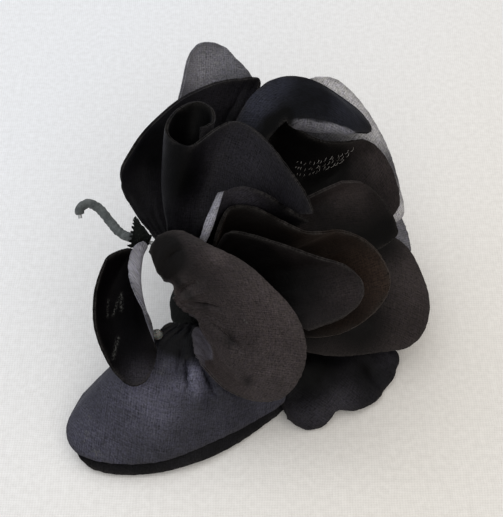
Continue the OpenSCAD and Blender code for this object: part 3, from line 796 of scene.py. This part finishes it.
dark_fibre = fibre_material("dark_fibre", (0.006, 0.006, 0.007), (0.035, 0.033, 0.035))
pale_fibre = fibre_material("pale_fibre", (0.12, 0.11, 0.1), (0.4, 0.38, 0.36))
black_picks = [(node, 0.45) for node in edges_of_cloth if node not in GREY_PETALS]
grey_picks = list(zip(GREY_PETALS, (0.4, 0.5, 0.5, 0.4)))
long_picks = [("right_petal", 0.03), ("rolled_petal", 0.03), ("frayed_petal", 0.04),
              ("lower_left_petal", 0.03), ("front_petal", 0.02)]
fringe("edge_fibres", dark_fibre, "black_satin", black_picks, 81, 0.55)
fringe("grey_edge_fibres", dark_fibre, "grey_satin", grey_picks, 82, 0.6)
fringe("long_fibres", dark_fibre, "black_satin", long_picks, 83, 2.6)

STITCH_ROWS = 3
STITCHES = 14
STITCH_RADIUS = 0.045


def pale_threads():
    """Pale warp ends that stand out of the frayed petal in three curved rows of short stitches."""
    grid, n, _ = edges_of_cloth["frayed_petal"]
    rows, cols = grid.shape[:2]
    rng = np.random.default_rng(84)
    paths = []
    for row in range(STITCH_ROWS):
        for k in range(STITCHES):
            far = k / (STITCHES - 1) + rng.normal(0, 0.008)
            i = round((0.655 + 0.055 * row + 0.13 * max(far, 0) ** 1.6) * (rows - 1))
            j = round((0.22 + 0.26 * far) * (cols - 1))
            up = unit(grid[min(i + 3, rows - 1), j] - grid[i, j])
            side = np.cross(n[i, j], up)
            t = np.linspace(0, 1, 6)[:, None]
            way = up * rng.uniform(0.6, 1.1) * (0.6 + far) + side * rng.uniform(-0.25, 0.25)
            bow = -n[i, j] * 0.3 * MM * np.sin(math.pi * t)
            paths.append(grid[i, j] - n[i, j] * 0.4 * MM + way * t * MM + bow)
    p, f = many_tubes(paths, [STITCH_RADIUS * MM] * len(paths), 4)
    piece(mesh_object("pale_loose_threads", p, f, pale_fibre), "black_satin")


pale_threads()

# ---- the core, thread, calyx, stem, glue and felt ----


def plain_cloth(name, dark, light, rough, fuzz, scale, sheen, specular, flecks=(0.06, 0.066, 0.06)):
    """Felt, wadding or cotton: blotches of two colours, pale flecks, and a fibrous bump fuzz mm high."""
    made, tree, shader = new_material(name, Sheen_Weight=sheen, Sheen_Roughness=0.6,
                                      Specular_IOR_Level=specular)
    place = in_object(tree)
    blotch = noise(tree, place, 300, 4, 0.6)
    fibre = noise(tree, place, scale, 4, 0.7)
    base = mix(tree, spread(tree, blotch, 0.35, 0.65), dark, light)
    fleck = spread(tree, noise(tree, place, 2900, 2, 0.5), 0.66, 0.72)
    connect(tree, shader, mix(tree, fleck, base, flecks),
            spread(tree, fibre, 0.3, 0.7, rough - 0.12, rough + 0.1),
            bump(tree, fibre, 0.7, fuzz * MM, bump(tree, blotch, 0.5, 0.5 * MM)))
    return made


def twisted(name, dark, light, pitch, rough=0.6):
    """Thread or crepe tape: fine slanting ridges, one for each pitch of the mesh's attribute "wound"."""
    made, tree, shader = new_material(name, Sheen_Weight=0.06, Sheen_Roughness=0.5, Specular_IOR_Level=0.2)
    place = in_object(tree)
    wound = attribute(tree, "wound")
    fibre = noise(tree, place, 2600, 4, 0.7)
    ridge = calc(tree, "SINE", plus(tree, times(tree, wound, TURN / pitch),
                                    times(tree, fibre, 3.0)))
    blotch = noise(tree, place, 420, 4, 0.65)
    base = mix(tree, spread(tree, blotch, 0.35, 0.65), dark, light)
    base = mix(tree, spread(tree, ridge, 0.2, 1.0, 0.0, 0.35), base, tuple(0.35 * c for c in dark))
    connect(tree, shader, base, spread(tree, fibre, 0.3, 0.7, rough - 0.1, rough + 0.1),
            bump(tree, ridge, 0.5, 0.05 * MM, bump(tree, fibre, 0.5, 0.05 * MM)))
    return made


def metal(name, base, rough, metallic, scratch=(0.3, 0.28, 0.26), coat=0.0):
    """Enamelled or bright metal, with fine scratches and dull spots."""
    made, tree, shader = new_material(name, Metallic=metallic, Coat_Weight=coat, Coat_Roughness=0.2)
    place = in_object(tree)
    stretched = add(tree, "Mapping", {"Vector": place, "Scale": (180, 2600, 2600)}).outputs[0]
    line = noise(tree, stretched, 1.0, 3, 0.6)
    spot = noise(tree, place, 900, 4, 0.7)
    rub = spread(tree, noise(tree, place, 2400, 3, 0.7), 0.62, 0.72)
    dull = spread(tree, spot, 0.3, 0.7, rough - 0.08, rough + 0.1)
    connect(tree, shader, mix(tree, times(tree, rub, 0.6), base, scratch),
            plus(tree, dull, times(tree, line, 0.08)),
            bump(tree, line, 0.25, 0.02 * MM, bump(tree, spot, 0.25, 0.03 * MM)))
    return made


THREAD_PITCH = 0.14
wadding = plain_cloth("waxed_wadding", (0.0012, 0.0014, 0.0014), (0.004, 0.0045, 0.004), 0.55, 0.12, 2600,
                      0.0, 0.03)
felt = plain_cloth("wool_felt", (0.0012, 0.0014, 0.0013), (0.004, 0.0045, 0.004), 0.85, 0.15, 3400,
                   0.03, 0.15, (0.012, 0.012, 0.012))
pinked = plain_cloth("pinked_cotton", (0.002, 0.003, 0.0026), (0.007, 0.0095, 0.008), 0.7, 0.08, 3800,
                     0.02, 0.06)
linen = twisted("waxed_linen_thread", (0.004, 0.005, 0.004), (0.014, 0.017, 0.014), THREAD_PITCH)
crepe = twisted("crepe_tape", (0.05, 0.057, 0.059), (0.13, 0.142, 0.142), 0.1, 0.62)
enamel = metal("black_enamel", (0.012, 0.012, 0.013), 0.3, 0.0, coat=0.4)
steel = metal("bright_steel", (0.5, 0.5, 0.49), 0.28, 1.0, (0.3, 0.27, 0.24))
wire_steel = metal("drawn_wire", (0.42, 0.43, 0.44), 0.35, 1.0, (0.22, 0.19, 0.16))

core = piece(lump("flower_core_wadding", "flower_core", wadding, 41), "wadding", "flower_core")


def glue_material():
    """Hot glue, cloudy and a little translucent."""
    made, tree, shader = new_material("set_glue", IOR=1.48, Coat_Weight=0.3, Coat_Roughness=0.2,
                                      Subsurface_Weight=0.25, Subsurface_Scale=0.0008)
    cloud = noise(tree, in_object(tree), 900, 4, 0.65)
    base = mix(tree, spread(tree, cloud, 0.35, 0.65), (0.035, 0.035, 0.033), (0.17, 0.17, 0.155))
    connect(tree, shader, base, spread(tree, cloud, 0.3, 0.7, 0.25, 0.5),
            bump(tree, cloud, 0.5, 0.15 * MM))
    return made


piece(lump("glue_blob", "glue_bead", glue_material(), 42, 24, 32, 0.16, 1.4), "glue", "glue_bead")


def felt_piece():
    """The disc of felt: thick, its edge cut by hand and a little furred."""
    low, high = (np.array(c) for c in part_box("felt_disc"))
    middle, r, t = (low + high) / 2, (high[0] - low[0]) / 2, (high[2] - low[2]) / 2
    sides, ring_at = 120, (0.02, 0.35, 0.65, 0.85, 0.95, 1.0)
    a = TURN * np.arange(sides) / sides
    cut = 1 - 0.012 * np.abs(waves(51, r * np.cos(a), r * np.sin(a), 5 * MM))
    rings = []
    for side in (1, -1):
        for share in ring_at if side > 0 else ring_at[::-1]:
            drop = 1 if share < 0.9 else 0.93 if share < 1 else 0.62
            x, y = middle[0] + r * share * cut * np.cos(a), middle[1] + r * share * cut * np.sin(a)
            lumps = 0.06 * MM * waves(52, x, y, 3 * MM) - 0.08 * MM
            rings.append(np.stack([x, y, middle[2] + side * (t * drop + lumps)], 1))
    p, f = tube_mesh(np.array(rings))
    return mesh_object("felt_pad", p, f, felt)


pad = piece(felt_piece(), "felt", "felt_disc")

# The stem's middle line, the steps of it that are taped, and the tape's width in mm
STEM = catmull([[-16.5, 3, 26], [-24, 4, 27.6], [-28, 5.4, 28.2], [-30.6, 8.2, 29], [-33, 11, 30],
                [-35.2, 12, 30.8], [-37, 11.4, 30.6], [-37.6, 10.2, 29.7], [-37.4, 9.4, 28.8]], 161) * MM
TAPE_FROM, TAPE_TO = 16, 146
TAPE_WIDTH = 2.6


def stem_tape():
    """Crepe tape wound up the wire: each turn overlaps the last, and the tape is crinkled."""
    way = np.concatenate([[0], np.cumsum(np.linalg.norm(np.diff(STEM, axis=0), axis=1))])
    s = np.linspace(way[TAPE_FROM], way[TAPE_TO], 360)
    path = np.stack([np.interp(s, way, STEM[:, k]) for k in range(3)], 1)
    sides = 28
    rings = tube_rings(path, 1.0, sides)
    out = rings - path[:, None]
    angle = np.arange(sides) / sides
    turns = s[:, None] / (TAPE_WIDTH * MM) + angle[None]
    step = turns % 1.0
    crinkle = waves(61, s[:, None], angle[None] * 6.0 * MM, 0.9 * MM, 9)
    overlap = 0.13 * step ** 0.7 - 0.12 * np.exp(-((1 - step) / 0.06) ** 2)
    r = 0.98 + overlap + 0.045 * crinkle
    r *= np.interp(s, [s[0], s[-8], s[-1]], [1, 1, 0.72])[:, None]
    p, f = tube_mesh(path[:, None] + out * r[:, :, None] * MM)
    wound = s[:, None] / MM + 0.8 * angle[None] * TAPE_WIDTH
    return mesh_object("stem_crepe_tape", p, f, crepe, {"wound": wound.ravel()})


piece(stem_tape(), "floral_tape", "stem_tape")

# The step of the stem that the thread's direction is taken from, and its turns
THREAD_REACH = 8
THREAD_TURNS = 4.2


def binding_thread():
    """Four turns of two-strand thread round the stem's root, each a little tighter than the last."""
    ahead = unit(STEM[THREAD_REACH] - STEM[0])
    side = unit(np.cross(ahead, (0, 0, 1)))
    up = np.cross(side, ahead)
    t = np.linspace(0, THREAD_TURNS, 420)
    r = (2.95 - 0.25 * t) * MM
    far = (0.55 + 0.75 * t) * MM
    out = np.cos(TURN * t)[:, None] * side + np.sin(TURN * t)[:, None] * up
    path = STEM[0] + far[:, None] * ahead + r[:, None] * out
    sides = 14
    rings = tube_rings(path, 1.0, sides)
    out = rings - path[:, None]
    angle = TURN * np.arange(sides) / sides
    two = 0.26 + 0.06 * np.abs(np.cos(angle[None] + TURN * 9 * t[:, None]))
    wound = (36 * THREAD_PITCH * t[:, None] + THREAD_PITCH * angle[None] / TURN).ravel()
    p, f = tube_mesh(path[:, None] + out * two[:, :, None] * MM)
    return mesh_object("binding_thread_turns", p, f, linen, {"wound": wound})


piece(binding_thread(), "thread", "binding_thread")


def calyx():
    """The pinked collar: cotton cut in a zigzag, its rings taken from the CAD sheet."""
    grid = cad_grid("calyx", 3)
    cols = grid.shape[1]
    fine = np.linspace(0, cols - 1, (cols - 1) * 6 + 1)
    cut = np.array([[np.interp(fine, np.arange(cols), row[:, k]) for k in range(3)] for row in grid])
    grid = smooth_between(cut.transpose(2, 0, 1), np.linspace(0, 1, 22)).transpose(1, 0, 2)
    x, y = arc(grid, 1), arc(grid, 0)
    off = 0.12 * MM * waves(71, x, y, 3 * MM) + 0.05 * MM * waves(72, x, y, 1.1 * MM)
    grid = grid + normals(grid) * off[:, :, None]
    made, _ = sheet_mesh("calyx_cloth", grid, pinked, None, 70, 0.2 * MM, 0.15 * MM, 0.07)
    piece(made, "pinked_cloth", "calyx")


calyx()

# ---- the clip and the wire: CAD metal, with the clip's edges rounded ----


def dress(node, material, rounding=0.0):
    """Gives a CAD part its material, and rounds its edges by so many mm."""
    part = frame["nodes"][node]
    part.data.materials.clear()
    part.data.materials.append(material)
    if rounding:
        part.modifiers.new("weld", "WELD").merge_threshold = 1e-6
        rounded = part.modifiers.new("rounded", "BEVEL")
        rounded.width = rounding * MM
        rounded.segments = 2
        rounded.limit_method = "ANGLE"
        rounded.angle_limit = math.radians(40)


dress("stem_wire", wire_steel)
dress("clip_top_arm", enamel, 0.12)
dress("clip_lower_jaw", enamel, 0.12)
dress("hinge_pin", steel, 0.1)

# The spring's coil in mm, and how far from the pin and how high its legs bend and end
COIL_RADIUS = 1.4
COIL_HALF = 1.925
COIL_TURNS = 5.5
COIL_STEPS = 264
SPRING_WIRE = 0.3
LEG_BEND, LEG_END = 5, 9
UPPER_BEND_Z, UPPER_END_Z = 7.3, 8.6
LOWER_BEND_Z, LOWER_END_Z = 1.9, 1.3


def clip_spring():
    """The torsion spring: its coil and upper leg go with the arm, and its lower leg with the jaw."""
    pin_x, _, pin_z = (c / MM for c in frame["joints"][0]["pos_m"])
    angle = TURN * np.linspace(0.25, 0.25 + COIL_TURNS, COIL_STEPS + 1)
    across = np.linspace(-COIL_HALF, COIL_HALF, COIL_STEPS + 1)
    coil = np.stack([pin_x + COIL_RADIUS * np.cos(angle), across, pin_z + COIL_RADIUS * np.sin(angle)], 1)
    upper = [[pin_x + LEG_END, -COIL_HALF, UPPER_END_Z], [pin_x + LEG_BEND, -COIL_HALF, UPPER_BEND_Z]]
    lower = [[pin_x + LEG_BEND, COIL_HALF, LOWER_BEND_Z], [pin_x + LEG_END, COIL_HALF, LOWER_END_Z]]

    def wire_piece(name, path, body, *nodes):
        p, f = tube_mesh(tube_rings(path * MM, SPRING_WIRE * MM, 12))
        piece(mesh_object(name, p, f, steel, sharp=50), "steel", *nodes, body=body)

    wire_piece("spring_coil", np.concatenate([upper, coil]), "flower", "clip_spring")
    wire_piece("spring_lower_leg", np.concatenate([coil[-1:], lower]), "jaw")


clip_spring()

# ---- the floor and the light ----

FLOOR_REACH = 1.5
FLOOR_THREAD = 0.57 * MM


def add_floor():
    """A pale table cover with a faint, soft weave, and the room light's colours painted on it: cooler at the
    back left, warmer and a little darker at the front right.
    """
    mesh = bpy.data.meshes.new("floor")
    corners = [(x * FLOOR_REACH, y * FLOOR_REACH, 0) for x, y in ((-1, -1), (1, -1), (1, 1), (-1, 1))]
    mesh.from_pydata(corners, [], [(0, 1, 2, 3)])
    made = bpy.data.objects.new("floor", mesh)
    scene.collection.objects.link(made)
    cloth, tree, shader = new_material("pale_cover", Roughness=0.85, Specular_IOR_Level=0.2)
    place = in_object(tree)
    split = add(tree, "SeparateXYZ", {0: place})
    drift = noise(tree, place, 120, 2)
    threads = []
    for axis in (0, 1):
        value = plus(tree, times(tree, split.outputs[axis], TURN / FLOOR_THREAD), times(tree, drift, 14.0))
        threads.append(calc(tree, "SINE", value))
    weave = plus(tree, threads[0], threads[1])
    slub = noise(tree, place, 700, 3, 0.6)
    both = plus(tree, times(tree, weave, 0.1), slub)
    yarn = mix(tree, spread(tree, both, 0.2, 0.8), (0.80, 0.795, 0.78), (0.93, 0.93, 0.92))
    aside = calc(tree, "MULTIPLY_ADD", split.outputs[1], -0.6, split.outputs[0])
    # Painted light: the cover is tinted cool towards the back left, where the window is, and warm and a
    # little darker towards the front right
    painted_light_tint = mix(tree, spread(tree, aside, -0.1, 0.06), (0.93, 0.945, 0.99), (0.92, 0.885, 0.845))
    base = add(tree, "VectorMath", {0: yarn, 1: painted_light_tint}, operation="MULTIPLY").outputs[0]
    connect(tree, shader, base, normal=bump(tree, both, 0.5, 0.16 * MM))
    mesh.materials.append(cloth)


def soft_light(name, place, size, power, colour):
    """A rectangular lamp that faces the flower."""
    data = bpy.data.lights.new(name, "AREA")
    data.shape = "RECTANGLE"
    data.size, data.size_y = size
    data.energy = power
    data.color = colour
    made = bpy.data.objects.new(name, data)
    made.location = place
    made.rotation_mode = "QUATERNION"
    made.rotation_quaternion = (LOOK_AT - Vector(place)).to_track_quat("-Z", "Y")
    scene.collection.objects.link(made)


def add_room():
    """Soft light from all round, brighter overhead and towards the back left."""
    world = bpy.data.worlds.new("room")
    world.use_nodes = True
    tree = world.node_tree
    where = add(tree, "SeparateXYZ", {0: add(tree, "TexCoord").outputs["Generated"]})
    aside = calc(tree, "SUBTRACT", times(tree, where.outputs[1], 0.08), times(tree, where.outputs[0], 0.08))
    bright = plus(tree, calc(tree, "MULTIPLY_ADD", where.outputs[2], 0.52, 0.42), aside)
    ground = tree.nodes["Background"]
    colour = mix(tree, spread(tree, where.outputs[0], -0.6, 0.8), (0.93, 0.96, 1.0), (1.0, 0.95, 0.88))
    tree.links.new(colour, ground.inputs["Color"])
    tree.links.new(bright, ground.inputs["Strength"])
    scene.world = world


add_floor()
soft_light("window", (-0.75, 0.75, 0.85), (1.3, 1.0), 5.5, (0.93, 0.97, 1.0))
soft_light("front_fill", (0.15, -0.95, 0.8), (1.4, 0.9), 4.5, (1.0, 0.97, 0.92))
add_room()
